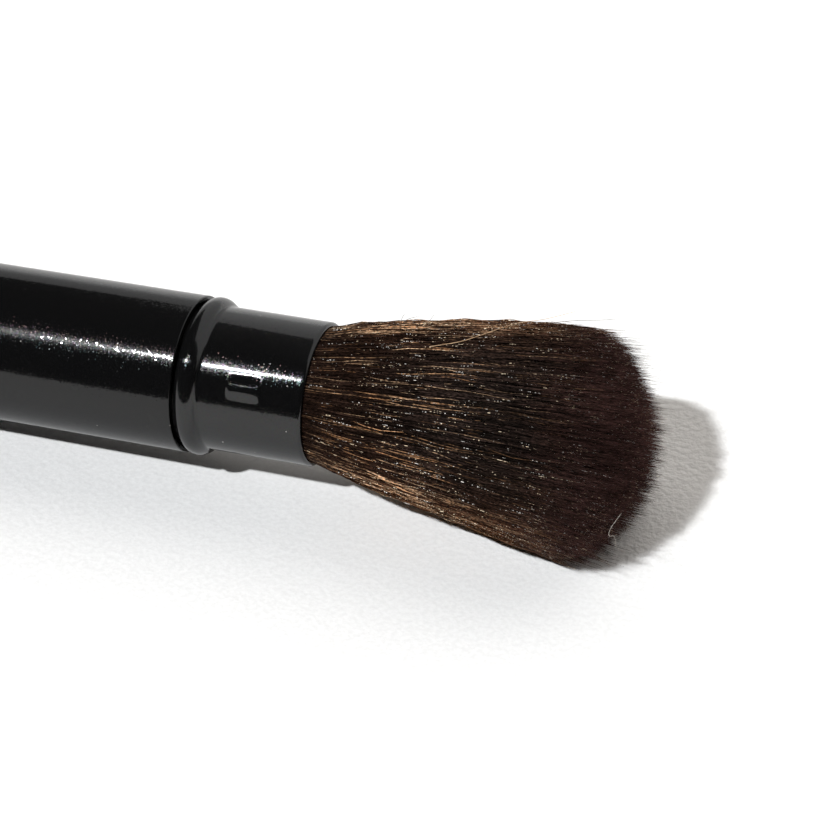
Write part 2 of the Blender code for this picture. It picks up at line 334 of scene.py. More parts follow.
@dataclass(frozen=True)
class Lacquer:
    """Gloss black lacquer on metal: a clear coat, a grain that draws light along, a haze across."""

    name: str
    colour: Colour = (0.0040, 0.0040, 0.0042)
    dust: Colour = (0.55, 0.53, 0.50)
    dust_scale: float = 1500.0
    dust_share: float = 0.055
    dust_size: float = 0.11
    marks_scale: float = 240.0
    marks_level: float = 0.03
    base_roughness: float = 0.6
    grain_scale: float = 11000.0
    grain_tilt: float = 0.11
    grain_level: float = 0.0065
    grain_roughness: float = 0.22
    grain_along: float = -0.70
    haze_level: float = 0.0010
    haze_roughness: float = 0.134
    haze_along: float = 0.70
    haze_far: float = 0.7
    haze_reach: Pair = (0.0568, 0.0600)
    coat_weight: float = 0.72
    coat_roughness: float = 0.05
    coat_tilt: float = 0.022
    coat_ior: float = 1.5
    pit_scale: float = 6500.0
    pit_ramp: Pair = (0.45, 0.7)
    pitted_gloss: float = 0.03
    pitted_level: float = 0.4

    def build(self, axis: "BrushAxis") -> Material:
        """Make the material, its grain stretched along the axis and its haze densest up to the beads.

        Args:
            axis: The brush's axis.

        Returns:
            The material.
        """
        material, graph, shader = start_material(self.name)
        dust = {"Scale": self.dust_scale, "Share": self.dust_share, "Size": self.dust_size}
        specks = graph.group(Effect.SPECKS, **dust)[0]
        marks = graph.group(Effect.CLOUD, Scale=self.marks_scale)[0]
        pressed = graph.add("Attribute", {"attribute_name": "pressed"}).outputs["Fac"]
        lost = graph.span(graph.noise(self.pit_scale, 1.0), *self.pit_ramp, 1.0, 1.0 - self.pitted_gloss)
        kept = graph.minus(1.0, graph.times(pressed, lost))
        graph.fill(
            shader,
            Base_Color=graph.mix(specks, self.colour, self.dust),
            Roughness=self.base_roughness,
            Specular_IOR_Level=0.0,
            Coat_Weight=graph.times(graph.minus(1.0, specks), kept, self.coat_weight),
            Coat_Roughness=self.coat_roughness,
            Coat_IOR=self.coat_ior,
            Coat_Normal=graph.group(Effect.GRAIN, Scale=self.grain_scale, Tilt=self.coat_tilt)[0],
        )
        way = tuple(axis.direction)
        tangent = graph.add("CombineXYZ", X=way[0], Y=way[1], Z=way[2]).outputs[0]
        offset = graph.vector("SUBTRACT", graph.place(), tuple(axis.middle))
        far = graph.span(graph.math("ABSOLUTE", graph.measure("DOT_PRODUCT", offset, way)), *self.haze_reach)
        rough = graph.plus(self.grain_roughness, graph.times(marks, self.marks_level))
        normal, tint = graph.group(Effect.GRAIN, Scale=self.grain_scale, Tilt=self.grain_tilt)
        surface = shader.outputs[0]
        for level, far_level, roughness, stretch in (
            (self.grain_level, self.grain_level, rough, self.grain_along),
            (self.haze_level, self.haze_level * self.haze_far, self.haze_roughness, self.haze_along),
        ):
            strength = graph.span(far, 0.0, 1.0, level, far_level)
            strength = graph.times(strength, graph.span(pressed, 0.0, 1.0, 1.0, self.pitted_level))
            gloss = graph.add(
                "BsdfAnisotropic", {"distribution": "BECKMANN"}, Color=graph.scale(tint, strength),
                Roughness=roughness, Anisotropy=stretch, Normal=normal, Tangent=tangent,
            )
            both = graph.add("AddShader")
            graph.feed(both.inputs[0], surface)
            graph.feed(both.inputs[1], gloss.outputs[0])
            surface = both.outputs[0]
        graph.fill(graph.tree.nodes["Material Output"], Surface=surface)
        return material


@dataclass(frozen=True)
class HairFinish:
    """Dark hair, each strand with its own tone, some of them golden, with short painted glints: pale dots in
    the base colour, with a real rise in specular under them.

    A noise along the hair is given as its turns and its shift from hair to hair.
    """

    name: str
    root: Tones = ((0.0085, 0.0045, 0.0033), (0.036, 0.0200, 0.0143))
    middle: Tones = ((0.0062, 0.0046, 0.0038), (0.056, 0.0360, 0.0300))
    # painted through-light: the lighter, redder tones of the hair along the two lit sides
    side: Tones = ((0.0165, 0.0062, 0.0028), (0.1600, 0.0650, 0.0310))
    tip: Tones = ((0.0086, 0.0050, 0.0042), (0.104, 0.0545, 0.0450))
    end_pale: Colour = (0.104, 0.0520, 0.0470)
    copper: Colour = (0.68, 0.325, 0.140)
    golden: Colour = (0.88, 0.560, 0.330)
    # painted highlight: the pale colours that the glints turn the base colour to
    painted_white_glint: Colour = (1.0, 0.96, 0.92)
    painted_gold_glint: Colour = (1.0, 0.80, 0.55)
    warm_shine: Colour = (1.0, 0.90, 0.79)
    to_middle: Ramp = (0.25, 0.55)
    to_side: Ramp = (0.08, 0.38)
    to_tip: Ramp = (0.84, 0.97)
    to_end: Ramp = (0.97, 1.0)
    wander: Pair = (4.0, 0.0)
    gold_shown: Ramp = (0.35, 0.62)
    gold_fade: Ramp = (0.35, 0.75, 1.0, 0.15)
    gold_root: Ramp = (0.04, 0.36, 0.17, 1.0)
    to_golden: Ramp = (0.0, 0.4)
    flash: Pair = (95.0, 0.0)
    flash_ramp: Ramp = (0.32, 0.68, 0.30, 1.95)
    patch_scale: float = 150.0
    patch_ramp: Ramp = (0.35, 0.65, 0.72, 1.22)
    row: Pair = (10.0, 0.37)
    row_ramp: Ramp = (0.0, 0.05)
    spark: Pair = (160.0, 0.61)
    spark_ramp: Ramp = (0.61, 0.68)
    drift_scale: float = 240.0
    drift_ramp: Ramp = (0.3, 0.7, 0.04, -0.04)
    limit_ramp: Ramp = (0.12, 0.32, 0.70, 0.655)
    limit_end: Ramp = (0.6, 0.9, 0.0, 0.04)
    golden_limit: float = 0.06
    side_limit: float = 0.11
    golden_from: float = 0.1
    white_below: float = 0.17
    dull: float = 0.015
    shine: float = 0.20
    sparkle: float = 1.0
    roughness: Pair = (0.42, 0.30)
    hair_pitch: float = 917.0

    def build(self) -> Material:
        """Make the material.

        The strand attribute holds tone, place along the hair, gold and how much light comes through; that
        last is painted through-light, which turns the hair along two sides a lighter, redder brown and lets
        more painted glints show there.

        Returns:
            The material.
        """
        material, graph, shader = start_material(self.name)
        strand = graph.add("Attribute", {"attribute_name": "strand"}).outputs
        tone, along, gold = graph.add("SeparateColor", Color=strand["Color"]).outputs
        wander, flash, row, spark = (
            self.along_noise(graph, turns, graph.plus(tone, shift), along)
            for turns, shift in (self.wander, self.flash, self.row, self.spark)
        )
        body, middle, side, tip = (
            graph.mix(tone, *tones) for tones in (self.root, self.middle, self.side, self.tip)
        )
        # Painted through-light: hair along the two lit sides mixes towards the lighter side tones
        through = graph.times(strand["Alpha"], graph.span(along, *self.to_side))
        body = graph.mix(graph.span(along, *self.to_middle), body, middle)
        body = graph.mix(through, body, side)
        body = graph.mix(graph.span(along, *self.to_tip), body, tip)
        body = graph.mix(graph.span(along, *self.to_end), body, self.end_pale)
        # Golden hairs: partly lighter hairs, partly painted highlight whose brightness wanders along each
        # hair
        shown = graph.times(graph.span(wander, *self.gold_shown), graph.span(along, *self.gold_fade))
        shown = graph.times(shown, graph.span(along, *self.gold_root), gold)
        body = graph.mix(shown, body, graph.mix(graph.span(tone, *self.to_golden), self.copper, self.golden))
        patches = graph.span(graph.noise(self.patch_scale, 2.0), *self.patch_ramp)
        body = graph.scale(body, graph.times(graph.span(flash, *self.flash_ramp), patches))

        # Painted glints: where two noises along the hair peak, the base colour turns pale and the specular
        # level rises too; more of them on golden hairs and along the lit sides
        drift = graph.span(graph.noise(self.drift_scale, 1.0), *self.drift_ramp)
        limit = graph.plus(graph.span(along, *self.limit_ramp), drift)
        limit = graph.plus(limit, graph.span(along, *self.limit_end))
        is_golden = graph.math("GREATER_THAN", gold, self.golden_from)
        limit = graph.minus(limit, graph.times(is_golden, self.golden_limit))
        limit = graph.minus(limit, graph.times(through, self.side_limit))
        glint = graph.span(graph.minus(row, limit), *self.row_ramp)
        glint = graph.times(glint, graph.span(spark, *self.spark_ramp))
        is_warm = graph.math("GREATER_THAN", tone, self.white_below)
        level = graph.plus(self.dull, graph.times(shown, self.shine))
        graph.fill(
            shader,
            Base_Color=graph.mix(glint, body, graph.mix(is_warm, self.painted_white_glint, self.painted_gold_glint)),
            Specular_Tint=self.warm_shine,
            Specular_IOR_Level=graph.plus(level, graph.times(glint, self.sparkle)),
            Roughness=graph.span(graph.math("MAXIMUM", shown, glint), 0.0, 1.0, *self.roughness),
        )
        return material

    def along_noise(self, graph: Graph, turns: float, tone: NodeSocket, along: NodeSocket) -> NodeSocket:
        """Give a noise that runs along each hair and differs from hair to hair."""
        place = {"X": graph.times(along, turns), "Y": graph.times(tone, self.hair_pitch)}
        return graph.noise(1.0, 0.0, graph.add("CombineXYZ", **place).outputs[0])


class Pattern(Enum):
    """What a plain finish varies with."""

    STREAKS = "streaks along the brush"
    TWIST = "twisted fibres"
    BUBBLES = "clouds with bubbles"
    GRAIN = "clouds with a grain"
    DRIFT = "slow drift"


@dataclass(frozen=True)
class PlainFinish:
    """Two colours mixed by a pattern, which the roughness and a fine relief can follow.

    The relief is a strength and a depth.
    """

    name: str
    pattern: Pattern
    first: Colour
    second: Colour
    roughness: Pair
    relief: Pair | None = None
    shine: float = 0.5
    # painted light: emission in the finish's own colour, for a thing that should look lit
    painted_glow: float = 0.0

    def draw(self, graph: Graph) -> tuple[NodeSocket, NodeSocket]:
        """Draw the pattern.

        Args:
            graph: The material's graph.

        Returns:
            The value that the colours follow, and the height of the relief.
        """
        if self.pattern is Pattern.STREAKS:
            stretched = graph.add("Mapping", Vector=graph.place(), Scale=(60.0, 2600.0, 2600.0))
            streaks = graph.noise(scale=1.0, place=stretched.outputs[0])
            return graph.span(streaks, 0.4, 0.65), streaks
        if self.pattern is Pattern.TWIST:
            bands = {"wave_type": "BANDS", "bands_direction": "DIAGONAL"}
            twist = graph.add("TexWave", bands, Vector=graph.place(), Scale=2200.0, Distortion=1.5)
            return twist.outputs["Fac"], twist.outputs["Fac"]
        if self.pattern is Pattern.DRIFT:
            drift = graph.noise(scale=900.0, detail=1.0)
            return graph.span(drift, 0.4, 0.6), drift
        if self.pattern is Pattern.BUBBLES:
            bubbles = graph.group(Effect.SPECKS, Scale=1100.0, Share=0.5, Size=0.22)[0]
            return graph.group(Effect.CLOUD, Scale=420.0)[0], bubbles
        return graph.group(Effect.CLOUD, Scale=520.0)[0], graph.noise(scale=6000.0)

    def build(self) -> Material:
        """Make the material.

        Returns:
            The material.
        """
        material, graph, shader = start_material(self.name)
        value, height = self.draw(graph)
        colour = graph.mix(value, self.first, self.second)
        rough = graph.span(value, 0.0, 1.0, *self.roughness)
        graph.fill(shader, Base_Color=colour, Roughness=rough, Specular_IOR_Level=self.shine)
        if self.relief:
            graph.fill(shader, Normal=graph.bump(height, *self.relief))
        # Painted light: the finish glows in its own colour
        if self.painted_glow:
            graph.fill(shader, Emission_Color=colour, Emission_Strength=self.painted_glow)
        return material


SHADED_DEPTH = PlainFinish(
    "shaded hair depth", Pattern.STREAKS, (0.0055, 0.0030, 0.0024), (0.015, 0.0078, 0.0058),
    roughness=(0.9, 0.9), relief=(0.6, 0.0002), shine=0.1,
)
AMBER_RESIN = PlainFinish(
    "amber resin", Pattern.BUBBLES, (0.42, 0.26, 0.09), (0.56, 0.42, 0.22),
    roughness=(0.25, 0.5), relief=(0.4, 0.0001),
)
WAXED_THREAD = PlainFinish(
    "waxed thread", Pattern.TWIST, (0.44, 0.36, 0.25), (0.64, 0.58, 0.47),
    roughness=(0.55, 0.85), relief=(0.7, 0.00012),
)
NATURAL_PLASTIC = PlainFinish(
    "natural plastic", Pattern.GRAIN, (0.70, 0.69, 0.65), (0.60, 0.585, 0.54),
    roughness=(0.38, 0.5), relief=(0.15, 0.00005),
)
LOOSE_ROUGHNESS = (0.35, 0.35)
GOLDEN_STRAY = PlainFinish(
    "loose golden hair", Pattern.DRIFT, (0.66, 0.44, 0.26), (0.42, 0.26, 0.14), LOOSE_ROUGHNESS
)
DARK_STRAY = PlainFinish(
    "loose dark hair", Pattern.DRIFT, (0.10, 0.055, 0.042), (0.05, 0.028, 0.022), LOOSE_ROUGHNESS
)
# The pale fibre is given a painted glow so that it looks lit by the key light
PALE_STRAY = PlainFinish(
    "loose pale fibre", Pattern.DRIFT, (0.72, 0.67, 0.60), (0.55, 0.50, 0.44), LOOSE_ROUGHNESS, painted_glow=0.5
)


@dataclass(frozen=True)
class Paper:
    """White paper with a soft tooth, and painted shade that makes it darker towards the front left."""

    name: str
    white: Colour = (0.985, 0.985, 0.985)
    # painted shade: the paper's colour where it is darkest, near the front left of the brush
    shaded: Colour = (0.930, 0.930, 0.935)
    painted_shade_middle: Triple = (0.015, -0.045, 0.0)
    painted_shade_ramp: Ramp = (0.0, 0.075, 1.0, 0.0)
    front_ramp: Ramp = (-0.26, -0.25, 1.0, 0.0)
    mottle_scale: float = 1900.0
    mottle_ramp: Ramp = (0.38, 0.62, 0.94, 1.0)
    rough_right: Ramp = (0.075, 0.09)
    rough_back: Ramp = (-0.009, -0.002)
    rough_level: Pair = (0.6, 6.0)
    fine_scale: float = 1300.0
    coarse_scale: float = 330.0
    coarse_level: float = 0.75
    tooth_ramp: Ramp = (0.03, 0.12, 1.0, 0.35)
    relief: Pair = (0.3, 0.0004)

    def build(self) -> Material:
        """Make the material, hidden from gloss in front of the brush.

        Returns:
            The material.
        """
        material, graph, shader = start_material(self.name)
        place = graph.place()
        across, deep, _ = graph.add("SeparateXYZ", Vector=place).outputs
        away = graph.measure("LENGTH", graph.vector("SUBTRACT", place, self.painted_shade_middle))
        in_front = graph.span(deep, *self.front_ramp)
        hidden = graph.times(in_front, graph.add("LightPath").outputs["Is Glossy Ray"])
        # Painted shade: the paper darkens towards the shaded colour near the front left
        sheet = graph.mix(graph.span(away, *self.painted_shade_ramp), self.white, self.shaded)
        sheet = graph.scale(sheet, graph.span(graph.noise(self.mottle_scale, 3.0, place), *self.mottle_ramp))
        rough = graph.times(graph.span(across, *self.rough_right), graph.span(deep, *self.rough_back))
        rough = graph.span(rough, 0.0, 1.0, *self.rough_level)
        fine = graph.times(graph.noise(self.fine_scale, 3.0, place), rough)
        tooth = graph.plus(fine, graph.times(graph.noise(self.coarse_scale, 3.0, place), self.coarse_level))
        tooth = graph.times(tooth, graph.span(away, *self.tooth_ramp))
        graph.fill(
            shader,
            Base_Color=graph.mix(hidden, sheet, BLACK),
            Normal=graph.bump(tooth, *self.relief),
            Roughness=0.9,
            Specular_IOR_Level=0.2,
        )
        return material


# Hand modelling


def work_alone(item: Object | None = None) -> None:
    """Deselect everything, then select and activate one object.

    Args:
        item: The object, or nothing.
    """
    for other in bpy.context.scene.objects:
        other.select_set(False)
    if item:
        item.select_set(True)
        bpy.context.view_layer.objects.active = item


def turn_on_lathe(name: str, outline: Outline, segments: int) -> Object:
    """Draw an outline by extruding one vertex, then spin it about Z into a closed shell.

    Args:
        name: The new object's name.
        outline: Points of (radius, height). It ends at its first point, or on the axis.
        segments: Number of steps in the full turn.

    Returns:
        The new object, in its own frame, with outward normals.
    """
    work_alone()
    bpy.ops.mesh.primitive_plane_add(size=MILLIMETRE)
    item = bpy.context.object
    item.name = item.data.name = name
    bpy.ops.object.mode_set(mode="EDIT")
    bpy.ops.mesh.select_all(action="SELECT")
    bpy.ops.mesh.merge(type="CENTER")
    bpy.ops.transform.translate(value=(outline[0][0], 0.0, outline[0][1]))
    for (radius, height), (next_radius, next_height) in zip(outline, outline[1:]):
        step = (next_radius - radius, 0.0, next_height - height)
        bpy.ops.mesh.extrude_vertices_move(TRANSFORM_OT_translate={"value": step})
    bpy.ops.mesh.select_all(action="SELECT")
    bpy.ops.mesh.spin(steps=segments, angle=2 * math.pi, center=(0, 0, 0), axis=(0, 0, 1))
    bpy.ops.mesh.select_all(action="SELECT")
    bpy.ops.mesh.remove_doubles(threshold=MERGE_DISTANCE)
    bpy.ops.mesh.normals_make_consistent(inside=False)
    bpy.ops.object.mode_set(mode="OBJECT")
    return item


def set_down(item: Object, place: Matrix) -> None:
    """Move an object to its place in the frame and keep that place in its mesh.

    Args:
        item: The object.
        place: The matrix from its own frame to the row frame.
    """
    work_alone(item)
    item.matrix_world = place
    bpy.ops.object.transform_apply(location=True, rotation=True, scale=True)


def finish_piece(item: Object, material: Material, slot: str, *nodes: str) -> None:
    """Give a piece its material and body, and hide the CAD nodes that it stands for.

    Args:
        item: The finished piece.
        material: Its material.
        slot: Its material slot in the record; not used.
        nodes: The CAD nodes that it replaces.
    """
    item.data.materials.clear()
    item.data.materials.append(material)
    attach(item, BODY)
    if nodes:
        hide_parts(*nodes)
    item.data.calc_loop_triangles()
    log.info("%s: %d triangles", item.name, len(item.data.loop_triangles))


def arc(centre: Pair, radius: float, start: float, end: float, steps: int) -> Outline:
    """Give the points of an arc.

    Args:
        centre: Its middle as (radius, height).
        radius: Its own radius.
        start: First angle in degrees, from the outward side.
        end: Last angle.
        steps: Number of steps.

    Returns:
        The points, both ends among them.
    """
    angles = [math.radians(start + (end - start) * step / steps) for step in range(steps + 1)]
    return [(centre[0] + radius * math.cos(a), centre[1] + radius * math.sin(a)) for a in angles]


def smooth(item: Object, degrees: float) -> None:
    """Shade a piece smooth across edges blunter than an angle."""
    work_alone(item)
    bpy.ops.object.shade_smooth_by_angle(angle=math.radians(degrees))


def held(value: float) -> float:
    """Hold a value between 0 and 1."""
    return min(max(value, 0.0), 1.0)


# The brush's axis, which every piece is turned about


@dataclass(frozen=True)
class BrushAxis:
    """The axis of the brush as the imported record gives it."""

    middle: Vector
    direction: Vector
    half_length: float = 0.052

    @classmethod
    def from_record(cls, record: dict) -> "BrushAxis":
        """Read the axis from the record's barrel mount."""
        mount = next(m for m in record["mounts"] if m["name"] == "barrel_grip")
        return cls(Vector(mount["pos_m"]), Vector(mount["axis"]).normalized())

    def frame_at(self, end: End) -> Matrix:
        """Give the frame at one end of the barrel: Z runs outwards, Y stays level.

        Args:
            end: Which end.

        Returns:
            The matrix from that frame to the row frame.
        """
        outwards = self.direction * end.value
        level = Vector((0.0, 1.0, 0.0))
        turn = Matrix((level.cross(outwards), level, outwards)).transposed().to_4x4()
        return Matrix.Translation(self.middle + self.direction * end.value * self.half_length) @ turn


# The metal pieces


@dataclass
class Barrel:
    """The thin drawn tube that is held."""

    axis: BrushAxis
    radius: float = 0.0085
    wall: float = 0.00047
    edge_radius: float = 0.00010
    segments: int = 256
    edge_steps: int = 5
    length_steps: int = 40
    smooth_angle: float = 40.0

    def outline(self) -> Outline:
        """Draw the wall: up the bore, over the rounded edge, down the outside and back.

        Returns:
            The points, closed on the first.
        """
        half = self.axis.half_length
        bore = self.radius - self.wall
        centre = self.radius - self.edge_radius
        straight = half - self.edge_radius
        top = arc((centre, straight), self.edge_radius, 90, 0, self.edge_steps)
        bottom = arc((centre, -straight), self.edge_radius, 0, -90, self.edge_steps)
        last = straight - self.edge_radius / 3
        side = [(self.radius, float(height)) for height in np.linspace(last, -last, self.length_steps)]
        return [(bore, -half), (bore, half), *top, *side, *bottom, (bore, -half)]

    def build(self, lacquer: Material) -> None:
        """Turn the tube and set it down on the axis.

        Args:
            lacquer: Its material.
        """
        tube = turn_on_lathe("barrel", self.outline(), self.segments)
        place = self.axis.frame_at(End.POWDER) @ Matrix.Translation((0.0, 0.0, -self.axis.half_length))
        set_down(tube, place)
        smooth(tube, self.smooth_angle)
        finish_piece(tube, lacquer, "barrel_lacquer", "barrel_tube")


@dataclass
class Ferrule:
    """One beaded sleeve: skirt, rolled bead with its fillet, land, taper and curled lip.

    The sizes given here are the powder ferrule's.
    """

    axis: BrushAxis
    end: End
    name: str
    land: float = 0.011613
    taper: float = 0.0
    collar: float = 0.0
    mouth_radius: float = 0.00773
    skirt_radius: float = 0.00773
    skirt_length: float = 0.012
    wall: float = 0.00035
    bead_gap: float = 0.00017
    bead_radius: float = 0.00855
    bead_round: float = 0.00135
    fillet: float = 0.00045
    lip_radius: float = 0.0004
    lip_inturn: float = 0.0003
    lip_edge: float = 0.00008
    boss_height: float = 0.00038
    boss_half_length: float = 0.0022
    boss_half_width: float = 0.00155
    boss_end_share: float = 0.32
    boss_crown: float = 0.45
    boss_centre: float = 0.0078
    boss_rise: float = 35.4
    pitted_from: float = 0.00013
    pitted_fade: float = 0.0002
    pitted_weight: float = 0.15
    pitted_slope: float = 5.0
    segments: int = 384
    ring_step: float = 0.00014
    lip_steps: int = 8
    fillet_steps: int = 10
    bead_steps: int = 28
    bore_steps: int = 12
    taper_steps: int = 24
    smooth_angle: float = 35.0

    @property
    def bead_centre_radius(self) -> float:
        """Radius at which the bead's round is centred."""
        return self.bead_radius - self.bead_round

    @property
    def bead_half_width(self) -> float:
        """Half the bead's width where it leaves the skirt."""
        return math.sqrt(self.bead_round**2 - (self.skirt_radius - self.bead_centre_radius) ** 2)

    @property
    def bead_middle(self) -> float:
        """Height of the bead's middle above the barrel's end."""
        return self.bead_gap + self.bead_half_width

    @property
    def bead_end(self) -> float:
        """Height of the bead's outer end."""
        return self.bead_gap + 2 * self.bead_half_width

    @property
    def mouth(self) -> float:
        """Height of the mouth above the barrel's end."""
        return self.bead_end + self.land + self.taper + self.collar

    def side_radius(self, height: float) -> float:
        """Give the outer radius in front of the bead.

        Args:
            height: Height above the barrel's end.

        Returns:
            The radius on the land, the eased taper or the collar.
        """
        share = (height - self.bead_end - self.land) / self.taper if self.taper else 0.0
        eased = (1 - math.cos(math.pi * held(share))) / 2
        return self.skirt_radius + (self.mouth_radius - self.skirt_radius) * eased

    def bead_points(self) -> Outline:
        """Draw the bead from its fillet down to its steep side in the gap.

        Returns:
            The points.
        """
        total = self.bead_round + self.fillet
        lift = math.asin((self.skirt_radius + self.fillet - self.bead_centre_radius) / total)
        turn = math.degrees(lift)
        fillet_centre = (self.skirt_radius + self.fillet, self.bead_middle + total * math.cos(lift))
        fillet = arc(fillet_centre, self.fillet, 180, 270 - turn, self.fillet_steps)
        back = math.degrees(math.asin((self.skirt_radius - self.bead_centre_radius) / self.bead_round))
        centre = (self.bead_centre_radius, self.bead_middle)
        bead = arc(centre, self.bead_round, 90 - turn, back - 90, self.bead_steps)
        return fillet + bead[1:]

    def outline(self) -> Outline:
        """Draw the whole wall, from the lip down the outside and back up the bore.

        Returns:
            The points, closed on the first.
        """
        lip_bore = self.mouth_radius - self.wall - self.lip_inturn
        lip_base = self.mouth - self.wall
        lip_end = self.mouth - self.lip_radius
        start = (lip_bore, lip_base)
        points = [start, (lip_bore, self.mouth - self.lip_edge), (lip_bore + self.lip_edge, self.mouth)]
        points += arc((self.mouth_radius - self.lip_radius, lip_end), self.lip_radius, 90, 0, self.lip_steps)
        bead = self.bead_points()
        last = bead[0][1]
        count = int((lip_end - last) / self.ring_step)
        heights = [lip_end + (last - lip_end) * step / count for step in range(1, count)]
        points += [(self.side_radius(height), height) for height in heights]
        bore = self.skirt_radius - self.wall
        points += bead + [(self.skirt_radius, -self.skirt_length), (bore, -self.skirt_length)]
        inner_round = self.bead_round - self.wall
        reach = 90 - math.degrees(math.asin((bore - self.bead_centre_radius) / inner_round))
        centre = (self.bead_centre_radius, self.bead_middle)
        points += arc(centre, inner_round, -reach, reach, self.bore_steps)
        steps = self.taper_steps if self.taper else 1
        for step in range(steps + 1):
            height = self.bead_end + (lip_base - self.lip_inturn - self.bead_end) * step / steps
            points.append((self.side_radius(height) - self.wall, height))
        return points + [start]

    def boss_weight(self, point: Vector) -> Pair:
        """Give the share of the boss's height at a point in the ferrule's own frame.

        Args:
            point: A vertex of the turned shell.

        Returns:
            1 on the boss, 0 off it, eased between; then the same for its pitted upper side alone.
        """
        radius = math.hypot(point.x, point.y)
        if radius < self.skirt_radius - self.wall / 2:
            return 0.0, 0.0
        rise = -math.radians(self.boss_rise) * self.end.value
        angle = math.atan2(point.y, point.x)
        middles = (math.pi / 2 + rise, rise - math.pi / 2)
        below = min((math.remainder(angle - middle, 2 * math.pi) for middle in middles), key=abs) * radius
        across = min(abs(below) / self.boss_half_width, 1.0)
        along = abs(point.z - self.boss_centre) / self.boss_half_length
        ends = held((1.0 - along) / self.boss_end_share)
        weight = (1 + math.cos(math.pi * across)) / 2 * (ends * ends * (3 - 2 * ends))
        weight *= 1 - self.boss_crown * along**2
        upper = held((self.pitted_from - below) / self.pitted_fade)
        return weight, upper * held((weight - self.pitted_weight) * self.pitted_slope)

    def raise_bosses(self, shell: Object) -> None:
        """Strike the two opposite bosses outwards with a Displace modifier, and mark their pitted sides.

        Args:
            shell: The turned sleeve.
        """
        group = shell.vertex_groups.new(name="boss")
        weights = [self.boss_weight(vertex.co) for vertex in shell.data.vertices]
        for index, (weight, _) in enumerate(weights):
            if weight > 0.0:
                group.add([index], weight, "REPLACE")
        pressed = shell.data.attributes.new("pressed", "FLOAT", "POINT")
        pressed.data.foreach_set("value", [upper for _, upper in weights])
        displace = shell.modifiers.new("boss", "DISPLACE")
        displace.direction = "NORMAL"
        displace.mid_level = 0.0
        displace.strength = self.boss_height
        displace.vertex_group = group.name
        work_alone(shell)
        bpy.ops.object.modifier_apply(modifier=displace.name)

    def build(self, lacquer: Material) -> None:
        """Turn the sleeve, raise its bosses and set it down at its end of the barrel.

        Args:
            lacquer: Its material.
        """
        shell = turn_on_lathe(self.name, self.outline(), self.segments)
        self.raise_bosses(shell)
        set_down(shell, self.axis.frame_at(self.end))
        smooth(shell, self.smooth_angle)
        finish_piece(shell, lacquer, "ferrule_lacquer", self.name + "_ferrule")


# The hair


class Population(Enum):
    """Which hairs of a head a mesh holds."""

    SHELL = "shell"
    INNER = "inner"


def turn_to(angle: Array, target: Array | float) -> Array:
    """Give the shorter turn from each angle to its target, in radians."""
    return np.angle(np.exp(1j * (target - angle)))


def on_plane(share: Array, angle: Array) -> Array:
    """Give the x and y of points at a distance and an angle from the axis."""
    return np.stack([share * np.cos(angle), share * np.sin(angle)], axis=-1)


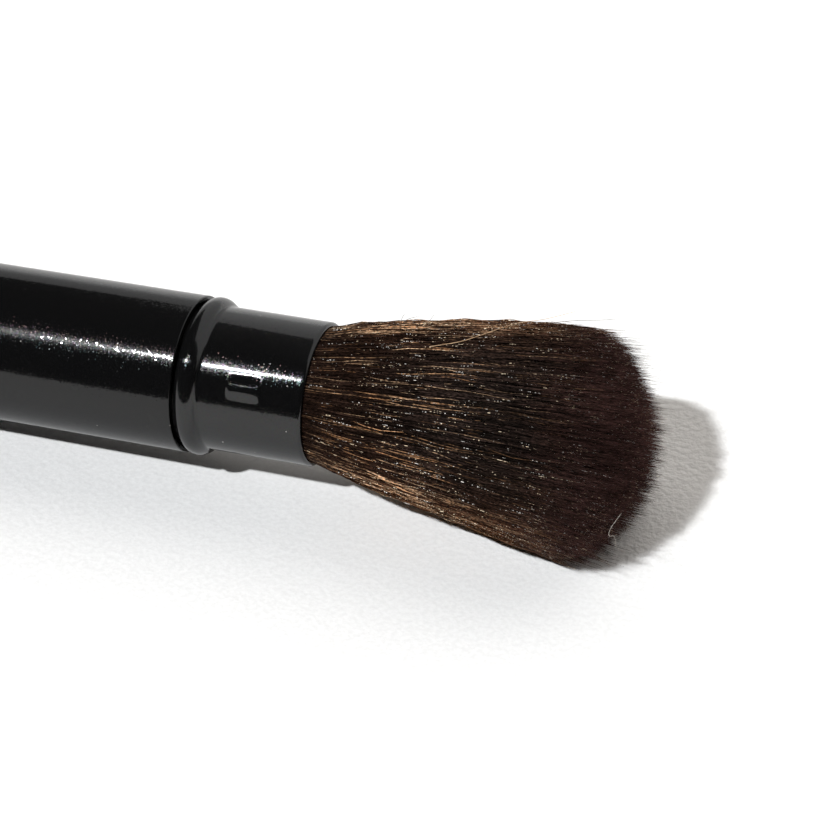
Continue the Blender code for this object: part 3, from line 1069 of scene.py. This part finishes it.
@dataclass
class HairHead:
    """One head of hair: a dark core with all the hairs that show drawn one by one.

    The sizes given here are the powder head's.
    """

    axis: BrushAxis
    end: End
    name: str
    mouth: float
    root_radius: float = 0.00708
    belly_radius: float = 0.01222
    belly_height: float = 0.0271
    dome_height: float = 0.0083
    dome_power: float = 1.9
    flare_power: float = 0.79
    flare_limit: float = 1.4
    shell_hairs: int = 9600
    inner_hairs: int = 17000
    clumps: int = 3200
    shell_pieces: int = 5
    inner_pieces: int = 3
    thickness: float = 0.000092
    sag: float = 0.0021
    sag_power: float = 2.6
    press: float = 0.0002
    twist: float = -0.12
    seed: int = 11
    sag_ease: float = 0.32
    table_gap: float = 0.00006
    golden_share: float = 0.034
    # The extra golden hairs and the lighter tone along the two lit sides are painted through-light
    lit_side_golden_more: float = 0.20
    golden_strength: Pair = (0.45, 1.15)
    lit_sides: Pair = (139.0, -41.0)
    golden_band: Pair = (0.955, 1.005)
    side_width: float = 36.0
    lit_side_tone: float = 0.10
    side_trims: Pair = (0.0018, 0.0022)
    shell_points: int = 15
    inner_points: int = 5
    shell_band: Pair = (0.84, 1.0)
    inner_band: Pair = (0.0, 0.93)
    tip_scatter: float = 0.00055
    tip_spread: float = 0.6
    tip_shift: float = 0.9
    outer_from: float = 0.8
    outer_share: float = 0.5
    outer_length: float = 0.0007
    lock_scatter: float = 0.00045
    ragged_from: float = 0.85
    ragged_more: float = 1.7
    lock_pitches: Pair = (0.010, 0.020)
    lock_sways: Pair = (0.00002, 0.00009)
    lock_batch: int = 2000
    lock_free: float = 0.006
    gather: float = 0.28
    gather_rise: float = 0.35
    gather_ease: float = 0.25
    crimps: tuple[Triple, ...] = ((0.008, 0.016, 0.00012), (0.0045, 0.008, 0.00005))
    hair_free: float = 0.004
    wild_share: float = 0.04
    wild_sway: float = 2.0
    thickness_spread: Pair = (0.8, 1.2)
    golden_thickness: float = 0.9
    tone_shape: Pair = (0.9, 2.6)
    taper_from: float = 0.72
    taper_depth: float = 0.88
    taper_power: float = 1.5
    disc_radius: float = 0.00708
    disc_top: float = -0.0014
    disc_height: float = 0.0014
    neck_radius: float = 0.00568
    neck_height: float = 0.0026
    core_share: float = 0.90
    core_depth: float = 0.0030
    core_segments: int = 96
    core_steps: tuple[int, int] = (12, 16)
    core_smooth: float = 50.0
    root_depth: float = 0.0010
    inner_reach: float = 0.0085

    @property
    def reach(self) -> float:
        """Height of the dome's top above the mouth."""
        return self.belly_height + self.dome_height

    def envelope(self, height: Array) -> Array:
        """Give the radius of the outermost hair at heights above the mouth."""
        share = np.clip(height / self.belly_height, 0.0, self.flare_limit)
        return self.root_radius + (self.belly_radius - self.root_radius) * share**self.flare_power

    def dome(self, share: Array) -> Array:
        """Give the height of a tip, by its distance from the axis over the outermost hair's."""
        fall = np.clip(1.0 - np.minimum(share, 1.0) ** self.dome_power, 0.0, 1.0)
        return self.belly_height + self.dome_height * fall ** (1.0 / self.dome_power)

    def settle(self, points: Array) -> Array:
        """Take points from the head's own frame to the table, where the hair sags and is pressed flat.

        Args:
            points: Positions with Z along the head and 0 at the mouth; the last axis holds x, y, z.

        Returns:
            Positions in the row frame.
        """
        place = np.array(self.axis.frame_at(self.end) @ Matrix.Translation((0.0, 0.0, self.mouth)))
        world = points @ place[:3, :3].T + place[:3, 3]
        along = np.clip(points[..., 2], 0.0, None) / self.reach
        world[..., 2] -= self.sag * along**self.sag_power * (1.0 - self.sag_ease * along**6)
        if self.press > 0.0:
            low = world[..., 2] - self.table_gap
            world[..., 2] = self.table_gap + self.press * np.logaddexp(0.0, low / self.press)
        return world

    def draw_paths(self, population: Population, count: int, rng: Random) -> tuple[Array, Array]:
        """Draw the middle line of each hair in the head's own frame.

        Args:
            population: Shell hairs run from the mouth, inner ones only near their tips.
            count: Number of hairs.
            rng: The random source.

        Returns:
            The lines as (hair, point, 3), and how golden each hair is.
        """
        shell = population is Population.SHELL
        steps = self.shell_points if shell else self.inner_points
        low, high = self.shell_band if shell else self.inner_band
        share = np.sqrt(rng.uniform(low**2, high**2, count))
        angle = rng.uniform(-np.pi, np.pi, count)
        gold = self.choose_gold(angle, rng) if shell else np.zeros(count)
        share = np.where(gold > 0.0, rng.uniform(*self.golden_band, count), share)
        lock = self.find_lock(share, angle)

        loose = self.tip_spread * rng.normal(0.0, 1.0, count) - rng.exponential(1.0, count) + self.tip_shift
        outer = (share > self.outer_from) & (rng.random(count) < self.outer_share)
        loose = np.where(outer, rng.exponential(self.outer_length, count), self.tip_scatter * loose)
        tip = self.dome(share) + self.lock_length[lock] + loose
        for side, trim in zip(self.lit_sides, self.side_trims):
            tip -= trim * share**2 * self.near_side(angle, side)
        start = np.full(count, -self.root_depth) if shell else tip - self.inner_reach
        height = start[:, None] + (tip - start)[:, None] * np.linspace(0.0, 1.0, steps)[None, :]

        gather = self.gather_share(height)
        share_line = share[:, None] + gather * (self.lock_share[lock] - share)[:, None]
        angle_line = angle[:, None] + gather * turn_to(angle, self.lock_angle[lock])[:, None]
        angle_line += self.twist * np.clip(height / self.reach, 0.0, 1.0)
        radius = share_line * self.envelope(np.maximum(height, 0.0))
        wave = self.lock_waves(lock, height) + self.hair_waves(count, height, rng)
        plane = on_plane(radius, angle_line) + np.moveaxis(wave, 0, -1)
        return np.concatenate([plane, height[..., None]], axis=-1), gold

    def choose_gold(self, angle: Array, rng: Random) -> Array:
        """Choose the golden hairs and their strength; the extra ones along the two lit sides are painted
        light shining through the edges.
        """
        share = self.golden_share + self.lit_side_golden_more * self.near_sides(angle)
        return np.where(rng.random(len(angle)) < share, rng.uniform(*self.golden_strength, len(angle)), 0.0)

    def near_sides(self, angle: Array) -> Array:
        """Give how near each angle is to the two sides that light shows through, 0 to 1."""
        return np.maximum(*(self.near_side(angle, side) for side in self.lit_sides))

    def near_side(self, angle: Array, side: float) -> Array:
        """Give how near each angle is to one side, 0 to 1."""
        return np.exp(-((np.degrees(turn_to(angle, math.radians(side))) / self.side_width) ** 2))

    def make_locks(self, rng: Random) -> None:
        """Draw the locks that the hair gathers in, each with its own length and wave.

        Args:
            rng: The random source.
        """
        self.lock_share = np.sqrt(rng.uniform(0.0, 1.0, self.clumps))
        self.lock_angle = rng.uniform(0.0, 2 * np.pi, self.clumps)
        ragged = np.where(self.lock_share > self.ragged_from, self.ragged_more, 1.0)
        self.lock_length = rng.normal(0.0, self.lock_scatter, self.clumps) * ragged
        self.lock_phase = rng.uniform(0.0, 2 * np.pi, (2, self.clumps))
        self.lock_pitch = rng.uniform(*self.lock_pitches, (2, self.clumps))
        self.lock_sway = rng.uniform(*self.lock_sways, (2, self.clumps))

    def find_lock(self, share: Array, angle: Array) -> Array:
        """Give the nearest lock of each hair.

        Args:
            share: Each hair's distance from the axis over the outermost one's.
            angle: Its angle about the axis.

        Returns:
            The locks' numbers.
        """
        locks = on_plane(self.lock_share, self.lock_angle)[None]
        parts = np.array_split(on_plane(share, angle), max(1, len(share) // self.lock_batch))
        return np.concatenate([((part[:, None] - locks) ** 2).sum(axis=-1).argmin(axis=1) for part in parts])

    def gather_share(self, height: Array) -> Array:
        """Give how far a hair is drawn to its lock, most of all in the middle of its length."""
        share = np.clip(height / self.reach, 0.0, 1.0)
        fall = 1.0 - self.gather_ease * np.clip(2.0 * share - 1.0, 0.0, 1.0)
        return self.gather * np.clip(share / self.gather_rise, 0.0, 1.0) * fall

    def lock_waves(self, lock: Array, height: Array) -> Array:
        """Give the sideways wave of each hair's lock.

        Args:
            lock: Each hair's lock.
            height: Heights above the mouth, as (hair, point).

        Returns:
            The shifts, as (2, hair, point).
        """
        turns = 2 * np.pi * height / self.lock_pitch[:, lock, None]
        sway = self.lock_sway[:, lock, None]
        free = np.clip(height / self.lock_free, 0.0, 1.0)
        return free * sway * np.sin(turns + self.lock_phase[:, lock, None])

    def hair_waves(self, count: int, height: Array, rng: Random) -> Array:
        """Give each hair's own crimp.

        Args:
            count: Number of hairs.
            height: Heights above the mouth, as (hair, point).
            rng: The random source.

        Returns:
            The shifts, as (2, hair, point).
        """
        waves = np.zeros((2, *height.shape))
        for wave in waves:
            for shortest, longest, swing in self.crimps:
                pitch = rng.uniform(shortest, longest, (count, 1))
                sway = np.abs(rng.normal(0.0, swing, (count, 1)))
                sway *= np.where(rng.random((count, 1)) < self.wild_share, self.wild_sway, 1.0)
                phase = rng.uniform(0.0, 2 * np.pi, (count, 1))
                wave += sway * np.sin(2 * np.pi * height / pitch + phase)
        return np.clip((height + self.root_depth) / self.hair_free, 0.0, 1.0) * waves

    def thickness_line(self, share: Array) -> Array:
        """Give the radius of a hair along its length: even, then a fine tip."""
        end = np.clip((share - self.taper_from) / (1.0 - self.taper_from), 0.0, 1.0)
        return (1.0 - self.taper_depth * end**self.taper_power) * self.thickness / 2

    def build_hairs(
        self, population: Population, count: int, pieces: int, hair: Material, rng: Random
    ) -> None:
        """Make the meshes of one population.

        Args:
            population: Which hairs.
            count: How many.
            pieces: How many meshes they are shared over.
            hair: Their material.
            rng: The random source.
        """
        paths, gold = self.draw_paths(population, count, rng)
        steps = paths.shape[1]
        start = 0.0 if population is Population.SHELL else 1.0 - self.inner_reach / self.reach
        along = start + (1.0 - start) * np.linspace(0.0, 1.0, steps)
        widths = self.thickness_line(along) * rng.uniform(*self.thickness_spread, (count, 1))
        widths *= np.where(gold > 0.0, self.golden_thickness, 1.0)[:, None]
        middle = paths[:, steps // 2]
        # Painted through-light: hairs near the two lit sides get a lighter tone, and carry the amount in
        # their marks
        through = self.near_sides(np.arctan2(middle[:, 1], middle[:, 0]) - self.twist / 2)
        tone = np.clip(rng.beta(*self.tone_shape, count) + self.lit_side_tone * through, 0.0, 1.0)
        marks = (tone[:, None], np.tile(along, (count, 1)), gold[:, None], through[:, None])
        world = self.settle(paths)
        for number, chosen in enumerate(np.array_split(np.arange(count), pieces), start=1):
            name = f"{self.name}_{population.value}_hair_{number}"
            item = strands_object(name, world[chosen], widths[chosen], [mark[chosen] for mark in marks])
            finish_piece(item, hair, self.name + "_hair")

    def core_outline(self) -> Outline:
        """Draw the core: neck, root disc and the body under the hair, closed on the axis.

        Returns:
            The points, from the axis to the axis.
        """
        disc_bottom = self.disc_top - self.disc_height
        neck_bottom = disc_bottom - self.neck_height
        points = [(0.0, neck_bottom), (self.neck_radius, neck_bottom), (self.neck_radius, disc_bottom)]
        points += [(self.disc_radius, disc_bottom), (self.disc_radius, self.disc_top)]
        points.append((self.root_radius * self.core_share, self.disc_top))
        side_steps, dome_steps = self.core_steps
        for step in range(1, side_steps + 1):
            height = self.belly_height * step / side_steps
            points.append((float(self.envelope(np.array(height))) * self.core_share, height))
        radius, base = points[-1]
        for step in range(1, dome_steps + 1):
            share = math.cos(math.radians(90 * step / dome_steps))
            rise = (1 - share**self.dome_power) ** (1 / self.dome_power)
            height = base + (self.dome_height - self.core_depth) * rise
            points.append((radius * share if step < dome_steps else 0.0, height))
        return points

    def build_core(self, finish: Material) -> None:
        """Turn the core and let it settle as the hair does.

        Args:
            finish: Its material.
        """
        core = turn_on_lathe(self.name + "_hair_core", self.core_outline(), self.core_segments)
        vertices = core.data.vertices
        flat = np.empty(len(vertices) * 3, dtype=np.float64)
        vertices.foreach_get("co", flat)
        vertices.foreach_set("co", self.settle(flat.reshape(-1, 3)).astype(np.float32).ravel())
        core.data.update()
        smooth(core, self.core_smooth)
        finish_piece(core, finish, self.name + "_hair", self.name + "_bristles")

    def build(self, hair: Material, core: Material) -> None:
        """Make the whole head.

        Args:
            hair: The material of its hairs.
            core: The material of the depth between them.
        """
        rng = np.random.default_rng(self.seed)
        self.make_locks(rng)
        self.build_core(core)
        self.build_hairs(Population.SHELL, self.shell_hairs, self.shell_pieces, hair, rng)
        self.build_hairs(Population.INNER, self.inner_hairs, self.inner_pieces, hair, rng)


def strands_object(name: str, lines: Array, widths: Array, marks: list[Array]) -> Object:
    """Make one mesh of three-sided closed hairs.

    Args:
        name: The object's name.
        lines: Middle lines as (hair, point, 3).
        widths: Radius at each point, as (hair, point).
        marks: Tone, place along the hair, gold and light let through, as (hair, point) or (hair, 1).

    Returns:
        The object, with a colour attribute named strand that holds the marks.
    """
    count, steps, _ = lines.shape
    sides = 3
    tangent = np.gradient(lines, axis=1)
    tangent /= np.linalg.norm(tangent, axis=2, keepdims=True)
    first = np.cross(tangent, (0.0, 0.0, 1.0))
    first /= np.linalg.norm(first, axis=2, keepdims=True)
    second = np.cross(tangent, first)
    roll = (np.arange(count) * GOLDEN_ANGLE)[:, None, None]
    angles = [roll + 2 * np.pi * side / sides for side in range(sides)]
    rings = [lines + widths[..., None] * (first * np.cos(a) + second * np.sin(a)) for a in angles]
    vertices = np.stack(rings, axis=2).reshape(-1, 3)

    base = (np.arange(count) * steps * sides)[:, None, None]
    ring = base + (np.arange(steps - 1) * sides)[None, :, None]
    corner = np.arange(sides)
    after = (corner + 1) % sides
    quads = [ring + corner, ring + after, ring + sides + after, ring + sides + corner]
    quads = np.stack(quads, axis=-1).reshape(-1, 4)
    caps = np.concatenate([base[:, 0] + [0, 2, 1], base[:, 0] + (steps - 1) * sides + [0, 1, 2]])
    if signed_volume(vertices, quads, caps) < 0:
        quads, caps = quads[:, ::-1], caps[:, ::-1]

    mesh = bpy.data.meshes.new(name)
    mesh.vertices.add(len(vertices))
    mesh.vertices.foreach_set("co", vertices.astype(np.float32).ravel())
    corners = np.concatenate([quads.ravel(), caps.ravel()]).astype(np.int32)
    mesh.loops.add(len(corners))
    mesh.loops.foreach_set("vertex_index", corners)
    starts = np.concatenate([np.arange(len(quads)) * 4, len(quads) * 4 + np.arange(len(caps)) * 3])
    mesh.polygons.add(len(starts))
    mesh.polygons.foreach_set("loop_start", starts.astype(np.int32))
    mesh.update(calc_edges=True)
    mesh.polygons.foreach_set("use_smooth", np.ones(len(starts), dtype=bool))
    shades = np.ones((count, steps, sides, 4), dtype=np.float32)
    for channel, values in enumerate(marks):
        shades[..., channel] = values[..., None]
    mesh.attributes.new("strand", "FLOAT_COLOR", "POINT").data.foreach_set("color", shades.ravel())
    item = bpy.data.objects.new(name, mesh)
    bpy.context.scene.collection.objects.link(item)
    return item


def signed_volume(vertices: Array, quads: Array, caps: Array) -> float:
    """Give the volume that closed faces hold, below 0 if they point inwards.

    Args:
        vertices: Positions.
        quads: Faces of four corners.
        caps: Faces of three corners.

    Returns:
        Six times the volume.
    """
    faces = np.concatenate([quads[:, :3], quads[:, [0, 2, 3]], caps])
    a, b, c = (vertices[faces[:, corner]] - vertices.mean(axis=0) for corner in range(3))
    return float(np.einsum("ij,ij->i", a, np.cross(b, c)).sum())


@dataclass(frozen=True)
class LooseHairs:
    """Hairs that stand off the powder head, each a route in millimetres in the row frame."""

    name: str
    finish: PlainFinish
    routes: tuple[tuple[Triple, ...], ...]
    thickness: float
    points: int = 60
    thinning: float = 0.6

    def smooth_route(self, route: tuple[Triple, ...]) -> Array:
        """Draw a smooth line of even steps through a route's points.

        Args:
            route: Points in millimetres.

        Returns:
            The line in metres, as (point, 3).
        """
        given = np.array(route) * MILLIMETRE
        ends = np.vstack([2 * given[0] - given[1], given, 2 * given[-1] - given[-2]])
        share = np.linspace(0.0, len(given) - 1, self.points)
        first = np.minimum(share.astype(int), len(given) - 2)
        t = (share - first)[:, None]
        a, b, c, d = (ends[first + offset] for offset in range(4))
        bend = (2 * a - 5 * b + 4 * c - d) * t**2 + (3 * b - a - 3 * c + d) * t**3
        return b + 0.5 * ((c - a) * t + bend)

    def build(self) -> None:
        """Make the mesh."""
        lines = np.stack([self.smooth_route(route) for route in self.routes])
        along = np.tile(np.linspace(0.0, 1.0, self.points), (len(lines), 1))
        widths = (1.0 - self.thinning * along**2) * self.thickness / 2
        plain = np.zeros((len(lines), 1))
        item = strands_object(self.name, lines, widths, [plain + 0.5, along, plain, plain])
        finish_piece(item, self.finish.build(), "powder_hair")


GOLDEN_HAIR = (
    (73.1, -1.3, 21.4), (76.1, -0.2, 21.9), (78.6, 1.7, 22.2), (80.8, 4.4, 21.8), (83.2, 5.4, 22.0),
    (86.2, 6.8, 22.6),
)
DARK_WISPS = (
    ((83.6, 5.8, 21.3), (86.2, 6.7, 21.5), (88.7, 7.5, 21.5), (90.7, 8.2, 21.6)),
    ((68.5, 3.6, 19.7), (68.5, 3.9, 20.2), (68.7, 4.3, 20.6)),
    ((68.7, 3.6, 19.9), (69.2, 4.0, 20.2), (70.2, 4.5, 20.4)),
    ((71.3, 3.6, 20.4), (71.6, 3.9, 20.7), (71.9, 4.3, 21.1)),
)
PALE_FIBRE = (
    (94.7, -6.5, 8.5), (94.3, -7.5, 8.1), (94.0, -7.9, 7.6), (93.8, -7.9, 6.7), (93.9, -7.6, 6.1),
    (94.1, -7.3, 6.0), (94.3, -7.2, 5.6), (94.4, -7.2, 4.9), (94.5, -7.1, 4.3), (95.0, -7.1, 4.0),
    (95.4, -7.1, 3.8),
)


def build_loose_hairs() -> None:
    """Add the few hairs that stand off the powder head."""
    LooseHairs("powder_loose_golden_hair", GOLDEN_STRAY, (GOLDEN_HAIR,), 0.000085).build()
    LooseHairs("powder_loose_dark_hairs", DARK_STRAY, DARK_WISPS, 0.00006).build()
    LooseHairs("powder_loose_pale_fibre", PALE_STRAY, (PALE_FIBRE,), 0.00005).build()


# The studio


@dataclass(frozen=True)
class Studio:
    """The paper, the hard key light, the dim room and the camera."""

    camera_place: Triple = (0.12779, -0.17715, 0.16784)
    camera_forward: Triple = (-0.2340, 0.7277, -0.6447)
    camera_right: Triple = (0.9563, 0.2919, -0.0175)
    lens: float = 100.83
    sensor: float = 36.0
    sun_path: Triple = (0.375, 0.72, -1.0)
    gloss_path: Triple = (0.441, 0.64, -1.0)
    sun_strength: float = 3.26
    gloss_strength: float = 2.75
    sun_colour: Colour = (0.975, 0.99, 1.0)
    sun_width: float = 2.2
    gloss_width: float = 1.5
    sweep_plane: Triple = (0.0, 0.54, -1.0)
    sweep_ramp: Ramp = (0.02, 0.20, 1.15, 0.58)
    side_planes: tuple[Triple, Triple] = ((1.0, 0.316, 0.215), (1.0, 0.57, -0.087))
    side_ramp: Ramp = (-0.06, -0.02, 0.0, 0.78)
    room_level: float = 0.003
    fill_back: Ramp = (0.02, 0.50, 0.01, 1.42)
    fill_up: Ramp = (0.2, 0.6, 0.02, 1.0)
    fill_right: Ramp = (0.0, 0.8, 1.0, 1.6)
    fill_colour: Colour = (1.0, 0.955, 0.90)
    floor_size: float = 6.0

    def build_camera(self) -> None:
        """Set up the camera of the photograph."""
        data = bpy.data.cameras.new("camera")
        data.lens, data.sensor_width = self.lens, self.sensor
        data.clip_start, data.clip_end = 0.01, 50.0
        camera = bpy.data.objects.new("camera", data)
        forward = Vector(self.camera_forward).normalized()
        right = Vector(self.camera_right)
        right = (right - forward * right.dot(forward)).normalized()
        turn = Matrix((right, right.cross(forward), -forward)).transposed().to_4x4()
        camera.matrix_world = Matrix.Translation(self.camera_place) @ turn
        bpy.context.scene.collection.objects.link(camera)
        bpy.context.scene.camera = camera

    def build_sun(self, name: str, path: Triple, for_gloss: bool) -> None:
        """Hang one part of the key light at the front left.

        Args:
            name: The light's name.
            path: The way its light travels.
            for_gloss: True for the part that gloss mirrors, False for the part that lights surfaces.
        """
        data = bpy.data.lights.new(name, "SUN")
        data.energy = self.gloss_strength if for_gloss else self.sun_strength
        data.color = self.sun_colour
        data.angle = math.radians(self.gloss_width if for_gloss else self.sun_width)
        light = bpy.data.objects.new(name, data)
        light.rotation_euler = Vector(path).to_track_quat("-Z", "Y").to_euler()
        light.location = -Vector(path)
        light.visible_glossy = for_gloss
        light.visible_diffuse = not for_gloss
        bpy.context.scene.collection.objects.link(light)

    def build_world(self) -> None:
        """White for the camera, dim for fill, and for gloss a dark room with a low white sweep."""
        world = bpy.data.worlds.new("studio")
        world.use_nodes = True
        bpy.context.scene.world = world
        graph = Graph(world.node_tree)
        ray = graph.add("LightPath").outputs
        toward = graph.add("TexCoord").outputs["Generated"]
        right, back, up = graph.add("SeparateXYZ", Vector=toward).outputs
        low = self.beyond_plane(graph, toward, self.sweep_plane)
        low = graph.times(low, graph.span(up, *self.sweep_ramp))
        sides = (self.beyond_plane(graph, toward, plane) for plane in self.side_planes)
        beside = graph.math("MINIMUM", graph.math("MINIMUM", *sides), graph.span(back, *self.side_ramp))
        sweep = graph.plus(graph.math("MAXIMUM", low, beside), self.room_level)
        dim = graph.times(graph.span(back, *self.fill_back), graph.span(up, *self.fill_up))
        dim = graph.times(dim, graph.span(right, *self.fill_right))
        level = graph.add("Mix", {"data_type": "FLOAT"})
        for index, value in ((0, ray["Is Glossy Ray"]), (2, dim), (3, sweep)):
            graph.feed(level.inputs[index], value)
        white = graph.math("MAXIMUM", ray["Is Camera Ray"], ray["Is Glossy Ray"])
        graph.fill(
            world.node_tree.nodes["Background"],
            Color=graph.mix(white, self.fill_colour, WHITE),
            Strength=graph.math("MAXIMUM", ray["Is Camera Ray"], level.outputs[0]),
        )

    def beyond_plane(self, graph: Graph, toward: NodeSocket, normal: Triple) -> NodeSocket:
        """Give 1 for directions on one side of a plane through the brush, and 0 on the other."""
        return graph.span(graph.measure("DOT_PRODUCT", toward, normal), -0.005, 0.005)

    def build_floor(self, paper: Material) -> None:
        """Lay the sheet of paper that the brush rests on.

        Args:
            paper: Its material.
        """
        work_alone()
        bpy.ops.mesh.primitive_plane_add(size=self.floor_size)
        floor = bpy.context.object
        floor.name = "paper"
        floor.data.materials.append(paper)

    def build(self) -> None:
        """Set up everything around the brush."""
        self.build_camera()
        self.build_sun("key_light", self.sun_path, for_gloss=False)
        self.build_sun("key_gloss", self.gloss_path, for_gloss=True)
        self.build_world()
        self.build_floor(Paper("white paper").build())
        bpy.context.scene.view_settings.view_transform = "Standard"


@dataclass
class InsidePieces:
    """The CAD nodes that stay: the plugs, the set resin and the thread inside the ferrules."""

    nodes: dict[str, Object]

    def dress(self) -> None:
        """Give each node that stays its material."""
        finishes = {
            "ferrule_plug": NATURAL_PLASTIC.build(),
            "root_glue": AMBER_RESIN.build(),
            "root_binding": WAXED_THREAD.build(),
        }
        for name, node in self.nodes.items():
            for ending, material in finishes.items():
                if name.endswith(ending):
                    node.data.materials.clear()
                    node.data.materials.append(material)
                    log.info("%s: dressed", name)


def main() -> None:
    """Build the studio, then the brush piece by piece."""
    logging.basicConfig(level=logging.INFO, format="%(message)s")
    Studio().build()
    axis = BrushAxis.from_record(frame["record"])
    SharedEffects().build()
    barrel_lacquer = Lacquer(
        "gloss black barrel lacquer", grain_level=0.0056, grain_roughness=0.27, grain_along=-0.52,
        haze_level=0.0009, coat_weight=0.68, coat_roughness=0.055, coat_tilt=0.040,
    )
    ferrule_lacquer = Lacquer(
        "gloss black ferrule lacquer", dust_share=0.075, grain_level=0.0165, haze_level=0.0020
    )
    Barrel(axis).build(barrel_lacquer.build(axis))
    powder = Ferrule(axis, End.POWDER, "powder")
    detail = Ferrule(
        axis, End.DETAIL, "detail", land=0.0080131, taper=0.0072, collar=0.0020, mouth_radius=0.0049
    )
    ferrule_material = ferrule_lacquer.build(axis)
    for ferrule in (powder, detail):
        ferrule.build(ferrule_material)
    InsidePieces(frame["nodes"]).dress()
    core = SHADED_DEPTH.build()
    powder_head = HairHead(axis, End.POWDER, "powder", powder.mouth)
    powder_head.build(HairFinish("powder hair").build(), core)
    detail_head = HairHead(
        axis, End.DETAIL, "detail", detail.mouth, root_radius=0.0041, belly_radius=0.0064,
        belly_height=0.0125, dome_height=0.0078, dome_power=2.0, flare_power=0.8, shell_hairs=2300,
        inner_hairs=4800, clumps=900, shell_pieces=1, inner_pieces=1, thickness=0.00009, sag=0.0003,
        sag_power=2.0, press=0.0, twist=-0.05, seed=12, side_trims=(0.0, 0.0), disc_radius=0.00425,
        neck_radius=0.00285, inner_reach=0.0062, core_depth=0.0024,
    )
    detail_head.build(HairFinish("detail hair").build(), core)
    build_loose_hairs()


if __name__ == "__main__":
    main()
